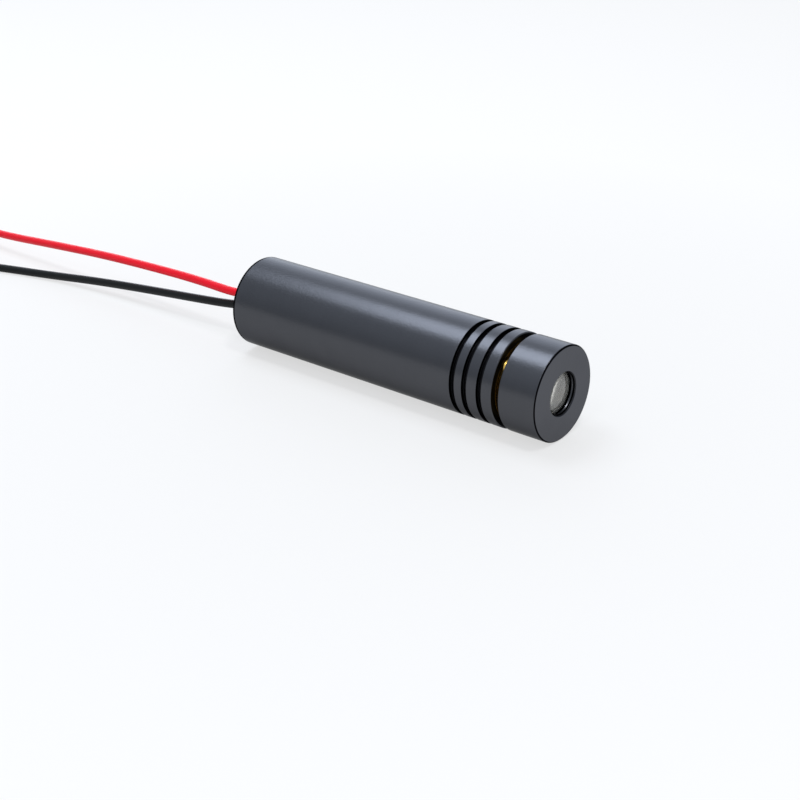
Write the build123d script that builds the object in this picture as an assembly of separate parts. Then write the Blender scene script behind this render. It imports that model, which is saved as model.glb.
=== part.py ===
from build123d import *
import math
import os

# A focusable laser diode module: a grooved round barrel, a screw-on focusing cap and two flying leads.
# The beam runs along +X, +Z is up, and the origin lies on the axis halfway along the plain clamping length.
# All sizes are millimetres.

# Housing tube
body_d = 12.0
housing_length = 42.0
edge_chamfer = 0.2
edge_break = 0.1
groove_width = 0.75
groove_depth = 0.5
ridge_lengths = (1.4, 1.4, 1.05)
front_wall = 1.0
rear_wall = 1.3

# Focus thread and cap
focus_gap = 1.0
cap_length = 5.2
thread_step = 0.15
thread_clearance = 0.05
nose_end_room = 0.95
aperture_d = 5.2
aperture_length = 0.9
aperture_chamfer = 0.15

# Collimating lens and its ring
lens_d = 6.4
lens_clearance = 0.05
lens_edge = 0.7
lens_dome_d = 5.0
lens_front_bulge = 0.5
lens_rear_bulge = 0.25
lens_ring_length = 0.7
lens_ring_hole_d = 5.1
spanner_slot_width = 0.7
spanner_slot_depth = 0.35

# Brass barrel
barrel_seat_length = 16.7
barrel_wall = 1.0
nose_wall = 0.75
seat_to_front = 4.7
web_thickness = 1.2
can_hole_d = 4.6

# Focus spring
spring_wire_d = 0.5
spring_clearance = 0.25
spring_coils = 5

# Laser diode package
stem_d = 5.6
stem_thickness = 1.2
can_d = 3.55
can_flange_d = 4.2
can_flange_thickness = 0.25
can_height = 2.3
can_wall = 0.2
window_hole_d = 1.6
window_d = 2.8
window_thickness = 0.3
post_height = 1.2
post_width = 1.0
post_depth = 0.7
chip_length = 0.35
chip_width = 0.3
chip_thickness = 0.12
lead_d = 0.45
lead_circle_d = 2.0
lead_rise_deg = 30.0
lead_length = 4.4
clamp_ring_length = 1.2
clamp_ring_width = 1.6

# Driver board and its parts
board_clearance = 0.25
board_to_stem = 2.4
board_embed = 3.0
board_corner = 0.5
driver_length = 3.0
driver_width = 3.0
driver_height = 1.0
driver_leg_pitch = 0.65
driver_leg_count = 4
transistor_length = 2.9
transistor_width = 1.3
transistor_height = 1.0
transistor_leg_pitch = 0.95
leg_width = 0.4
leg_thickness = 0.2
leg_reach = 1.0
leg_foot = 0.55
capacitor_length = 3.2
capacitor_width = 1.6
capacitor_height = 1.5
capacitor_end = 0.5
resistor_length = 1.6
resistor_width = 0.8
resistor_height = 0.45
diode_length = 2.7
diode_width = 1.6
diode_height = 1.1
solder_r = 0.5
solder_length = 1.4
open_root_share = 0.8
resistor_offset = 1.7

# Insulation and rear plug
sleeve_wall = 0.3
sleeve_clearance = 0.05
potting_recess = 0.8
potting_dish = 0.35
potting_length = 8.2

# Leads: limp hook-up wire
wire_d = 1.2
wire_core_d = 0.6
wire_in_potting = 3.7
wire_straight_out = 1.2
wire_arc_share = 0.45
tail_reach = 1.4
tip_length = 4.0
tip_turn_deg = 35.0

# Coil of the put-away length and its tie
coil_turns = 1.5
coil_outer_r = 7.8
coil_behind = 78.0
coil_aside = -5.4
tie_thickness = 0.35
tie_clearance = 0.05
tie_width = 1.8
tie_head = 1.3

# Worked-out diameters, from the barrel's outside inwards
body_r = body_d / 2
front_bore_d = body_d - 2 * front_wall
rear_bore_d = body_d - 2 * rear_wall
thread_d = front_bore_d - 2 * thread_step
thread_bore_d = thread_d + 2 * thread_clearance
spring_bore_d = thread_d - 2 * nose_wall
spring_mean_d = spring_bore_d - 2 * spring_clearance - spring_wire_d
clamp_bore_d = front_bore_d - 2 * barrel_wall
clamp_ring_hole_d = clamp_bore_d - 2 * clamp_ring_width
sleeve_outer_d = rear_bore_d - 2 * sleeve_clearance
sleeve_inner_d = sleeve_outer_d - 2 * sleeve_wall
lens_pocket_d = lens_d + 2 * lens_clearance

# Worked-out places along the axis
grooved_length = sum(ridge_lengths) + len(ridge_lengths) * groove_width
plain_length = housing_length - grooved_length - edge_chamfer
rear_x = -(edge_chamfer + plain_length / 2)
front_x = rear_x + housing_length
shoulder_x = front_x - barrel_seat_length
cap_rear_x = front_x + focus_gap
cap_front_x = cap_rear_x + cap_length
lens_seat_x = cap_front_x - aperture_length
lens_back_x = lens_seat_x - lens_edge
cap_floor_x = lens_back_x - lens_ring_length
nose_end_x = cap_floor_x - nose_end_room
stem_front_x = front_x - seat_to_front
stem_rear_x = stem_front_x - stem_thickness
web_front_x = stem_front_x + web_thickness
potting_rear_x = rear_x + potting_recess
potting_front_x = potting_rear_x + potting_length
board_rear_x = potting_front_x - board_embed
board_front_x = stem_rear_x - board_to_stem
wire_end_x = potting_rear_x + wire_in_potting

# Worked-out heights of the board, which slips between the diode's leads
lead_circle_r = lead_circle_d / 2
lead_r = lead_d / 2
upper_lead_z = lead_circle_r * math.sin(math.radians(lead_rise_deg))
upper_lead_y = lead_circle_r * math.cos(math.radians(lead_rise_deg))
board_top = upper_lead_z - lead_r
board_bottom = lead_r - lead_circle_r
board_room_r = min(clamp_bore_d, sleeve_inner_d) / 2 - board_clearance
board_width = 2 * math.sqrt(board_room_r ** 2 - board_bottom ** 2)
lead_places = (
    (-upper_lead_y, upper_lead_z),
    (upper_lead_y, upper_lead_z),
    (0.0, -lead_circle_r),
)
red_z = board_top + wire_core_d / 2
black_z = board_bottom - wire_core_d / 2

# Worked-out row of parts on the board, spread evenly between the pads at its two ends
rear_pads_x = potting_front_x + tail_reach
front_pads_x = stem_rear_x - lead_length
row_lengths = (capacitor_length, resistor_length, driver_length, transistor_length, resistor_length)
row_gap = (front_pads_x - rear_pads_x - sum(row_lengths)) / (len(row_lengths) + 1)
row_places = []
row_end = rear_pads_x
for part_length in row_lengths:
    row_places.append(row_end + row_gap + part_length / 2)
    row_end += row_gap + part_length
capacitor_x, rear_resistors_x, driver_x, transistor_x, front_resistors_x = row_places

# Worked-out levels of the leads' coils
floor_z = -body_r
coil_inner_r = coil_outer_r - wire_d * coil_turns
black_level = floor_z + tie_thickness + tie_clearance + wire_d / 2
red_level = black_level + wire_d
coil_x = rear_x - coil_behind

# Route of each lead behind the rear face: distance back, sideways and height above the axis
red_route = (
    (4.8, -0.5, 0.2),
    (11.8, -0.5, 0.2),
    (22.3, -0.2, -0.2),
    (33.6, 0.4, -1.05),
    (45.5, 0.8, -2.2),
    (58.2, 1.1, -3.45),
    (68.0, 1.8, -3.8),
)
black_route = (
    (5.5, -0.5, -1.85),
    (11.7, -0.8, -2.4),
    (21.7, -1.0, -3.4),
    (31.8, -1.6, -4.35),
    (41.6, -2.8, -5.3),
    (50.3, -5.3, -5.4),
    (58.5, -8.3, -5.4),
    (65.5, -11.1, -5.3),
    (71.5, -12.8, -5.15),
)


def turned(*points):
    """Revolve an outline of (x, radius) points about the optical axis."""
    return revolve(make_face(Polyline(*points, close=True)), Axis.X)


def rod(start_x, end_x, diameter, y=0.0, z=0.0):
    """Round bar along X between two stations."""
    bar = Plane.YZ * Cylinder(diameter / 2, end_x - start_x, align=(Align.CENTER, Align.CENTER, Align.MIN))
    return Pos(start_x, y, z) * bar


def block(center_x, center_y, base_z, length, width, height):
    """Box that stands on base_z, or hangs from it when height is negative."""
    align_z = Align.MIN if height > 0 else Align.MAX
    box = Box(length, width, abs(height), align=(Align.CENTER, Align.CENTER, align_z))
    return Pos(center_x, center_y, base_z) * box


def dome_radius(half_width, rise):
    """Radius of the sphere that rises by rise over a round face of that half width."""
    return (half_width ** 2 + rise ** 2) / (2 * rise)


def housing_tube():
    """Barrel with chamfered ends, square grooves and a stepped bore."""
    floor_r = body_r - groove_depth
    outline = [
        (rear_x, rear_bore_d / 2),
        (shoulder_x, rear_bore_d / 2),
        (shoulder_x, front_bore_d / 2),
        (front_x, front_bore_d / 2),
        (front_x, body_r - edge_break),
        (front_x - edge_break, body_r),
    ]
    station = front_x
    for ridge in ridge_lengths:
        groove_front = station - ridge
        groove_rear = groove_front - groove_width
        outline += [
            (groove_front, body_r),
            (groove_front, floor_r),
            (groove_rear, floor_r),
            (groove_rear, body_r),
        ]
        station = groove_rear
    outline += [
        (rear_x + edge_chamfer, body_r),
        (rear_x, body_r - edge_chamfer),
    ]
    return turned(*outline)


def brass_barrel():
    """Insert with a threaded nose, a spring bore, the diode's seat and the clamp ring's bore."""
    return turned(
        (shoulder_x, clamp_bore_d / 2),
        (shoulder_x, front_bore_d / 2),
        (front_x, front_bore_d / 2),
        (front_x, thread_d / 2),
        (nose_end_x - edge_chamfer, thread_d / 2),
        (nose_end_x, thread_d / 2 - edge_chamfer),
        (nose_end_x, spring_bore_d / 2),
        (web_front_x, spring_bore_d / 2),
        (web_front_x, can_hole_d / 2),
        (stem_front_x, can_hole_d / 2),
        (stem_front_x, stem_d / 2),
        (stem_rear_x, stem_d / 2),
        (stem_rear_x, clamp_bore_d / 2),
    )


def focus_cap():
    """Cap with a threaded skirt, a lens pocket and the light opening."""
    return turned(
        (cap_rear_x, thread_bore_d / 2),
        (cap_rear_x, body_r - edge_break),
        (cap_rear_x + edge_break, body_r),
        (cap_front_x - edge_chamfer, body_r),
        (cap_front_x, body_r - edge_chamfer),
        (cap_front_x, aperture_d / 2 + aperture_chamfer),
        (cap_front_x - aperture_chamfer, aperture_d / 2),
        (lens_seat_x, aperture_d / 2),
        (lens_seat_x, lens_pocket_d / 2),
        (cap_floor_x, lens_pocket_d / 2),
        (cap_floor_x, thread_bore_d / 2),
    )


def collimating_lens():
    """Moulded lens: a flat rim with a strong dome in front and a weak one behind."""
    dome_r = lens_dome_d / 2
    rim_r = lens_d / 2
    front_apex = (lens_seat_x + lens_front_bulge, 0)
    rear_apex = (lens_back_x - lens_rear_bulge, 0)
    front_dome = RadiusArc((lens_seat_x, dome_r), front_apex, dome_radius(dome_r, lens_front_bulge))
    rear_dome = RadiusArc(rear_apex, (lens_back_x, dome_r), dome_radius(dome_r, lens_rear_bulge))
    rim = Polyline((lens_back_x, dome_r), (lens_back_x, rim_r), (lens_seat_x, rim_r), (lens_seat_x, dome_r))
    axis_line = Line(front_apex, rear_apex)
    return revolve(make_face(Curve() + [front_dome, axis_line, rear_dome, rim]), Axis.X)


def slotted_ring(start_x, end_x, outer_d, hole_d):
    """Ring with two spanner slots across its rear face."""
    ring = rod(start_x, end_x, outer_d) - rod(start_x, end_x, hole_d)
    slot = Box(2 * spanner_slot_depth, outer_d, spanner_slot_width)
    return ring - Pos(start_x, 0, 0) * slot


def focus_spring():
    """Round-wire coil spring with ground ends, from the barrel's web to the cap's floor."""
    length = cap_floor_x - web_front_x
    path = Helix(pitch=length / spring_coils, height=length, radius=spring_mean_d / 2)
    wire = sweep(Plane(path @ 0, z_dir=path % 0) * Circle(spring_wire_d / 2), path=path, is_frenet=True)
    between_seats = Cylinder(spring_mean_d, length, align=(Align.CENTER, Align.CENTER, Align.MIN))
    return Pos(web_front_x, 0, 0) * (Plane.YZ * (wire & between_seats))


def diode_can():
    """Thin metal cap with a welding flange and a window hole."""
    inner_r = can_d / 2 - can_wall
    front = stem_front_x + can_height
    return turned(
        (stem_front_x, inner_r),
        (stem_front_x, can_flange_d / 2),
        (stem_front_x + can_flange_thickness, can_flange_d / 2),
        (stem_front_x + can_flange_thickness, can_d / 2),
        (front, can_d / 2),
        (front, window_hole_d / 2),
        (front - can_wall, window_hole_d / 2),
        (front - can_wall, inner_r),
    )


def diode_window():
    """Glass disc behind the can's window hole."""
    front = stem_front_x + can_height - can_wall
    return rod(front - window_thickness, front, window_d)


def laser_post():
    """Heat-sink block on the stem that carries the laser chip."""
    middle_x = stem_front_x + post_height / 2
    return block(middle_x, 0, -chip_thickness / 2, post_height, post_width, -post_depth)


def laser_chip():
    """Laser die at the front edge of its post, with its light at the axis."""
    middle_x = stem_front_x + post_height - chip_length / 2
    return block(middle_x, 0, -chip_thickness / 2, chip_length, chip_width, chip_thickness)


def diode_leads():
    """Three straight legs, two over the board and one under it."""
    return [rod(front_pads_x, stem_rear_x, lead_d, y, z) for y, z in lead_places]


def driver_board():
    """Circuit board with clipped front corners."""
    length = board_front_x - board_rear_x
    middle_x = (board_front_x + board_rear_x) / 2
    board = block(middle_x, 0, board_bottom, length, board_width, board_top - board_bottom)
    front_corners = board.edges().filter_by(Axis.Z).sort_by(Axis.X)[-2:]
    return chamfer(front_corners, board_corner)


def bent_leg(middle_x, body_half, body_height, side):
    """Gull-wing leg from a chip's flank down to its pad."""
    mid = board_top + body_height / 2
    foot_end = body_half + leg_reach
    riser = foot_end - leg_foot
    outline = Polyline(
        (0, side * body_half, mid),
        (0, side * (riser + leg_thickness), mid),
        (0, side * (riser + leg_thickness), board_top + leg_thickness),
        (0, side * foot_end, board_top + leg_thickness),
        (0, side * foot_end, board_top),
        (0, side * riser, board_top),
        (0, side * riser, mid - leg_thickness),
        (0, side * body_half, mid - leg_thickness),
        close=True,
    )
    return Pos(middle_x, 0, 0) * extrude(make_face(outline), leg_width / 2, dir=(1, 0, 0), both=True)


def driver_chip():
    """Small-outline driver chip."""
    return block(driver_x, 0, board_top, driver_length, driver_width, driver_height)


def driver_chip_legs():
    """Rows of legs down both flanks of the driver chip."""
    first = driver_x - driver_leg_pitch * (driver_leg_count - 1) / 2
    return [
        bent_leg(first + place * driver_leg_pitch, driver_width / 2, driver_height, side)
        for place in range(driver_leg_count)
        for side in (-1, 1)
    ]


def output_transistor():
    """Three-legged transistor that feeds the diode."""
    return block(transistor_x, 0, board_top, transistor_length, transistor_width, transistor_height)


def transistor_legs():
    """Two legs on one flank and one on the other."""
    places = ((-transistor_leg_pitch, -1), (transistor_leg_pitch, -1), (0.0, 1))
    return [
        bent_leg(transistor_x + offset, transistor_width / 2, transistor_height, side)
        for offset, side in places
    ]


def filter_capacitor():
    """Ceramic body of the supply capacitor."""
    length = capacitor_length - 2 * capacitor_end
    return block(capacitor_x, 0, board_top, length, capacitor_width, capacitor_height)


def capacitor_ends():
    """Metal ends of the supply capacitor."""
    reach = (capacitor_length - capacitor_end) / 2
    size = (capacitor_end, capacitor_width, capacitor_height)
    return [block(capacitor_x + side * reach, 0, board_top, *size) for side in (-1, 1)]


def chip_resistors():
    """Chip resistors in two pairs along the board."""
    size = (resistor_length, resistor_width, resistor_height)
    return [
        block(middle_x, side * resistor_offset, board_top, *size)
        for middle_x in (rear_resistors_x, front_resistors_x)
        for side in (-1, 1)
    ]


def reverse_diode():
    """Polarity-guard diode under the board, below the supply capacitor."""
    return block(capacitor_x, 0, board_bottom, diode_length, diode_width, -diode_height)


def conductor_room(start_x, end_x, core_d, y, z):
    """Round channel for a conductor that lies on the board, open towards the board along its root."""
    face_z = board_top if z > board_top else board_bottom
    root = block((start_x + end_x) / 2, y, face_z, end_x - start_x, open_root_share * core_d, z - face_z)
    return rod(start_x, end_x, core_d, y, z) + root


def solder_joint(start_x, core_d, y, z):
    """Bead of solder round a conductor that lies on the nearer face of the board."""
    end_x = start_x + solder_length
    above = z > board_top
    face_z = board_top if above else board_bottom
    height = 2 * solder_r if above else -2 * solder_r
    bead = rod(start_x, end_x, 2 * solder_r, y, z)
    bead &= block((start_x + end_x) / 2, y, face_z, solder_length, 2 * solder_r, height)
    return bead - conductor_room(start_x, end_x, core_d, y, z)


def solder_joints():
    """Beads on the diode's leads and on the bared ends of the supply leads."""
    beads = [solder_joint(front_pads_x, lead_d, y, z) for y, z in lead_places]
    beads += [solder_joint(rear_pads_x - solder_length, wire_core_d, 0, z) for z in (red_z, black_z)]
    return beads


def wire_tails():
    """Bared ends of the supply leads, from the insulation to their pads."""
    return [rod(wire_end_x, rear_pads_x, wire_core_d, 0, z) for z in (red_z, black_z)]


def insulating_sleeve():
    """Plastic tube between the rear plug and the brass barrel."""
    tube = rod(potting_front_x, shoulder_x, sleeve_outer_d)
    return tube - rod(potting_front_x, shoulder_x, sleeve_inner_d)


def rear_potting():
    """Resin plug with a dished back, cast round the leads and the board's end."""
    plug_r = rear_bore_d / 2
    dish_bottom = (potting_rear_x + potting_dish, 0)
    dish_rim = (potting_rear_x, plug_r)
    dish = RadiusArc(dish_rim, dish_bottom, dome_radius(plug_r, potting_dish))
    sides = Polyline(dish_rim, (potting_front_x, plug_r), (potting_front_x, 0), dish_bottom)
    plug = revolve(make_face(Curve() + [dish, sides]), Axis.X)
    plug -= driver_board()
    for z in (red_z, black_z):
        plug -= rod(rear_x, wire_end_x, wire_d, 0, z)
        plug -= conductor_room(wire_end_x, potting_front_x, wire_core_d, 0, z)
    return plug


def route_points(height, route, entry_y, level):
    """Points of a lead from its end in the plug to where it meets its coil."""
    points = [Vector(wire_end_x, 0, height), Vector(rear_x - wire_straight_out, 0, height)]
    points += [Vector(rear_x - back, aside, up) for back, aside, up in route]
    points.append(Vector(coil_x, entry_y, level))
    return points


def lead_tube(name, points):
    """Round lead along straight runs joined by the largest arcs that fit them."""
    radii = []
    for before, corner, after in zip(points, points[1:], points[2:]):
        first, second = corner - before, after - corner
        half_turn = math.radians(first.get_angle(second) / 2)
        radii.append(wire_arc_share * min(first.length, second.length) / math.tan(half_turn))
    path = FilletPolyline(*points, radius=radii)
    tube = sweep(Plane(path @ 0, z_dir=path % 0) * Circle(wire_d / 2), path=path)
    straight_volume = math.pi * wire_d ** 2 / 4 * path.length
    print(name, "length", round(path.length, 2), "volume ratio", round(tube.volume / straight_volume, 4))
    print(name, "radii", [round(radius, 1) for radius in radii])
    return tube


def red_wire():
    """Positive lead, from the plug to its coil."""
    points = route_points(red_z, red_route, coil_aside + coil_outer_r, red_level)
    return lead_tube("red_wire", points)


def black_wire():
    """Negative lead, from the plug to its coil."""
    points = route_points(black_z, black_route, coil_aside - coil_outer_r, black_level)
    return lead_tube("black_wire", points)


def wire_coil(level):
    """Outer shape of a flat coil of one lead."""
    width = coil_outer_r - coil_inner_r + wire_d
    middle_r = (coil_outer_r + coil_inner_r) / 2
    section = Pos(middle_r, 0, 0) * (Plane.XZ * SlotOverall(width, wire_d))
    return Pos(coil_x, coil_aside, level) * revolve(section, Axis.Z)


def wire_tip(side, level):
    """Bared tip that turns into the middle of its coil from the innermost turn."""
    bar = rod(0, tip_length, wire_core_d)
    return Pos(coil_x, coil_aside - side * coil_inner_r, level) * Rot(0, 0, side * tip_turn_deg) * bar


def coil_tie():
    """Flat tie round both coils, with its head on the outer side."""
    inner_width = coil_outer_r - coil_inner_r + wire_d + 2 * tie_clearance
    inner_height = 2 * wire_d + 2 * tie_clearance
    middle_z = (red_level + black_level) / 2
    middle_r = (coil_outer_r + coil_inner_r) / 2
    band = Box(inner_width + 2 * tie_thickness, tie_width, inner_height + 2 * tie_thickness)
    band = fillet(band.edges().filter_by(Axis.Y), tie_thickness)
    band -= Box(inner_width, tie_width, inner_height)
    head = Box(tie_head, tie_width, tie_head, align=(Align.MAX, Align.CENTER, Align.CENTER))
    band += Pos(-inner_width / 2 - tie_thickness / 2, 0, 0) * head
    return Pos(coil_x - middle_r, coil_aside, middle_z) * band


pieces = {
    "housing_tube": housing_tube(),
    "brass_barrel": brass_barrel(),
    "focus_cap": focus_cap(),
    "collimating_lens": collimating_lens(),
    "lens_ring": slotted_ring(cap_floor_x, lens_back_x, lens_pocket_d, lens_ring_hole_d),
    "focus_spring": focus_spring(),
    "diode_stem": rod(stem_rear_x, stem_front_x, stem_d),
    "diode_can": diode_can(),
    "diode_window": diode_window(),
    "laser_post": laser_post(),
    "laser_chip": laser_chip(),
    "diode_leads": diode_leads(),
    "diode_clamp_ring": slotted_ring(
        stem_rear_x - clamp_ring_length, stem_rear_x, clamp_bore_d, clamp_ring_hole_d
    ),
    "driver_board": driver_board(),
    "driver_chip": driver_chip(),
    "driver_chip_legs": driver_chip_legs(),
    "output_transistor": output_transistor(),
    "transistor_legs": transistor_legs(),
    "filter_capacitor": filter_capacitor(),
    "capacitor_ends": capacitor_ends(),
    "chip_resistors": chip_resistors(),
    "reverse_diode": reverse_diode(),
    "solder_joints": solder_joints(),
    "wire_tails": wire_tails(),
    "insulating_sleeve": insulating_sleeve(),
    "rear_potting": rear_potting(),
    "red_wire": red_wire(),
    "black_wire": black_wire(),
    "red_wire_coil": wire_coil(red_level),
    "black_wire_coil": wire_coil(black_level),
    "red_wire_tip": wire_tip(1, red_level),
    "black_wire_tip": wire_tip(-1, black_level),
    "coil_tie": coil_tie(),
}

os.makedirs("parts", exist_ok=True)
for name, shape in pieces.items():
    solid = Compound(children=shape) if isinstance(shape, list) else shape
    export_step(solid, os.path.join("parts", name + ".step"))
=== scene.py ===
"""Dress the laser diode module: grooved barrel, focusing cap, lens, brass insert, driver and leads."""

from __future__ import annotations

import logging
import math
from dataclasses import dataclass, field
from enum import Enum
from typing import Any, Dict, List, Mapping, Optional, Sequence, Tuple, Union

import bpy
import numpy as np
from mathutils import Matrix

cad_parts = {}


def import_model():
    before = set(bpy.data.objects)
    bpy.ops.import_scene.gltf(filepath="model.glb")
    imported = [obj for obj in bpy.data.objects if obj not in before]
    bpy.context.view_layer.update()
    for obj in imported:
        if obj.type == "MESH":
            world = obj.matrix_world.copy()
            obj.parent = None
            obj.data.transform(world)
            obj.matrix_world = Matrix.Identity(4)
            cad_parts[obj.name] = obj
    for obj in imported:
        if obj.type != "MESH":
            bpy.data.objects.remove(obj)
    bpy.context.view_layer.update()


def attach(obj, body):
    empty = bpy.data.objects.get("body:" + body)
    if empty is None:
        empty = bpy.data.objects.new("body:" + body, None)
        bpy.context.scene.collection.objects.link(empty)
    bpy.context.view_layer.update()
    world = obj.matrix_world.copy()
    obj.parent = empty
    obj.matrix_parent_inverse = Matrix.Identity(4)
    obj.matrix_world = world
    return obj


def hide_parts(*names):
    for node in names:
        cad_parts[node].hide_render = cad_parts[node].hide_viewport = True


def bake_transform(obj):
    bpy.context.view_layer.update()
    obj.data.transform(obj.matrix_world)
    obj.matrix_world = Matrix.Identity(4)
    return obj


LOG = logging.getLogger("laser_module")
MM = 0.001
TAU = 2.0 * math.pi
PAINTED_SHADE_TONE = "tone"

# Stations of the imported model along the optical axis, in millimetres
REAR = -18.05
FRONT = REAR + 42.0
SHOULDER = FRONT - 16.7
STEM_FRONT = FRONT - 4.7
STEM_REAR = STEM_FRONT - 1.2
WEB_FRONT = STEM_FRONT + 1.2
CAP_REAR = FRONT + 1.0
CAP_FRONT = CAP_REAR + 5.2
LENS_SEAT = CAP_FRONT - 0.9
LENS_BACK = LENS_SEAT - 0.7
CAP_FLOOR = LENS_BACK - 0.7
NOSE_END = CAP_FLOOR - 0.95
PLUG_REAR = REAR + 0.8
PLUG_FRONT = PLUG_REAR + 8.2
WIRE_END = PLUG_REAR + 3.7
COIL_X = REAR - 78.0

# Sizes that several pieces share, in millimetres
BODY_R = 6.0
BORE_R = 4.7
SEAT_R = 5.0
LEAD_D = 1.2
LEAD_CREEP = 0.35
RED_Z = 0.575
BLACK_Z = -1.075

# Tones of the anodised runs, levels of painted shade and painted light: 1 is the palest, a painted lit front
# face; 0 the dark edge colour, painted dark edges; 0.05 painted shade on the walls of the light opening;
# 0.70 the plain body
PAINTED_DARK_EDGE = 0.0
PAINTED_WALL_SHADE = 0.05
PLAIN = 0.70
PAINTED_LIT_FACE = 1.0

Colour = Tuple[float, float, float]
Point = Tuple[float, float, float]


class Body(Enum):
    """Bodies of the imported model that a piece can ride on."""

    HOUSING = "housing"
    SPRING = "spring"
    HEAD = "focus_head"


class Slot(Enum):
    """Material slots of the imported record."""

    ANODISED = "anodised_grey"
    BRASS = "brass"
    LENS = "lens_glass"
    BLACK = "black_anodised"
    SPRING = "spring_steel"
    GOLD = "gold_plate"
    NICKEL = "nickel_plate"
    DIE = "laser_die"
    BOARD = "board_green"
    CHIP = "chip_black"
    CERAMIC = "ceramic_tan"
    SOLDER = "solder"
    TINNED = "tinned_copper"
    SLEEVE = "sleeve_film"
    POTTING = "potting_black"
    RED = "red_pvc"
    BLACK_PVC = "black_pvc"
    NYLON = "tie_nylon"


class Winding(Enum):
    """Which way a lead is wound into its coil, seen from above."""

    COUNTER_CLOCKWISE = 1
    CLOCKWISE = -1


class Signal:
    """A shader value; arithmetic on it adds Math nodes to its graph."""

    def __init__(self, graph: "Graph", socket: bpy.types.NodeSocket) -> None:
        """Keep the output socket and the graph that it belongs to."""
        self.graph = graph
        self.socket = socket

    def _math(self, operation: str, first: "Value", second: "Value") -> "Signal":
        """Return a Math node of both values."""
        return self.graph.node("ShaderNodeMath", {"operation": operation}, {0: first, 1: second})

    def __add__(self, other: "Value") -> "Signal":
        """Return self + other."""
        return self._math("ADD", self, other)

    def __sub__(self, other: "Value") -> "Signal":
        """Return self - other."""
        return self._math("SUBTRACT", self, other)

    def __mul__(self, other: "Value") -> "Signal":
        """Return self * other."""
        return self._math("MULTIPLY", self, other)

    def __rtruediv__(self, other: "Value") -> "Signal":
        """Return other / self."""
        return self._math("DIVIDE", other, self)

    def at_least(self, other: "Value") -> "Signal":
        """Return the larger of both values."""
        return self._math("MAXIMUM", self, other)

    def at_most(self, other: "Value") -> "Signal":
        """Return the smaller of both values."""
        return self._math("MINIMUM", self, other)


Value = Union[Signal, float, Sequence[float]]


class Graph:
    """Node tree of one material or of the world."""

    def __init__(self, owner: Union[bpy.types.Material, bpy.types.World]) -> None:
        """Give the owner an empty tree, ready for new nodes."""
        owner.use_nodes = True
        self.owner = owner
        self.tree = owner.node_tree
        self.tree.nodes.clear()

    @classmethod
    def of_material(cls, name: str) -> "Graph":
        """Return the graph of a new material of that name."""
        return cls(bpy.data.materials.new(name))

    def node(
        self,
        kind: str,
        settings: Optional[Mapping[str, Any]] = None,
        sockets: Optional[Mapping[Union[str, int], Value]] = None,
        out: Union[str, int] = 0,
    ) -> Signal:
        """Add a node, set it up and feed it.

        Args:
            kind: Type name of the node.
            settings: Properties, set first; "stops" holds a ramp's places and colours.
            sockets: Values or signals for its inputs, by name or number.
            out: Output that the returned signal carries.

        Returns:
            The chosen output as a signal.
        """
        made = self.tree.nodes.new(kind)
        for key, value in (settings or {}).items():
            if key == "stops":
                ramp = made.color_ramp
                while len(ramp.elements) < len(value):
                    ramp.elements.new(0.5)
                for element, (place, colour) in zip(ramp.elements, value):
                    element.position = place
                    element.color = (*colour, 1.0)
            else:
                setattr(made, key, value)
        for key, value in (sockets or {}).items():
            entry = made.inputs[key]
            if isinstance(value, Signal):
                self.tree.links.new(value.socket, entry)
            elif entry.type == "RGBA":
                entry.default_value = (*value, 1.0)
            else:
                entry.default_value = value
        return Signal(self, made.outputs[out])

    def place(self, stretch: Point = (1.0, 1.0, 1.0)) -> Signal:
        """Return object coordinates in millimetres, stretched along each axis."""
        where = self.node("ShaderNodeTexCoord", out="Object")
        scale = tuple(share / MM for share in stretch)
        return self.node("ShaderNodeMapping", {"vector_type": "POINT"}, {"Vector": where, "Scale": scale})

    def noise(self, place: Signal, scale: float, detail: float = 2.0) -> Signal:
        """Return a noise value of about 0 to 1 at a place, with scale in cells per millimetre."""
        return self.node("ShaderNodeTexNoise", None, {"Vector": place, "Scale": scale, "Detail": detail})

    def blend(self, share: Value, first: Value, second: Value) -> Signal:
        """Return two colours mixed by a share."""
        return self.node("ShaderNodeMix", {"data_type": "RGBA"}, {0: share, 6: first, 7: second}, out=2)

    def bump(self, height: Signal, depth: float) -> Signal:
        """Return a normal from a height of 0 to 1, which stands for depth millimetres."""
        feeds = {"Height": height, "Distance": depth * MM, "Strength": 1.0}
        return self.node("ShaderNodeBump", None, feeds)

    def split(self, vector: Signal, axis: str) -> Signal:
        """Return one part of a vector, by the name of its axis."""
        return self.node("ShaderNodeSeparateXYZ", None, {0: vector}, out=axis)

    def finish(self, sockets: Mapping[Union[str, int], Value]) -> bpy.types.Material:
        """Feed the principled shader and the material's output.

        Args:
            sockets: Inputs of the principled shader.

        Returns:
            The finished material.
        """
        shader = self.node("ShaderNodeBsdfPrincipled", None, sockets)
        self.node_out("ShaderNodeOutputMaterial", shader)
        return self.owner

    def node_out(self, kind: str, shader: Signal) -> None:
        """Add the tree's output node and link the shader to it."""
        made = self.tree.nodes.new(kind)
        self.tree.links.new(shader.socket, made.inputs["Surface"])


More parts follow.
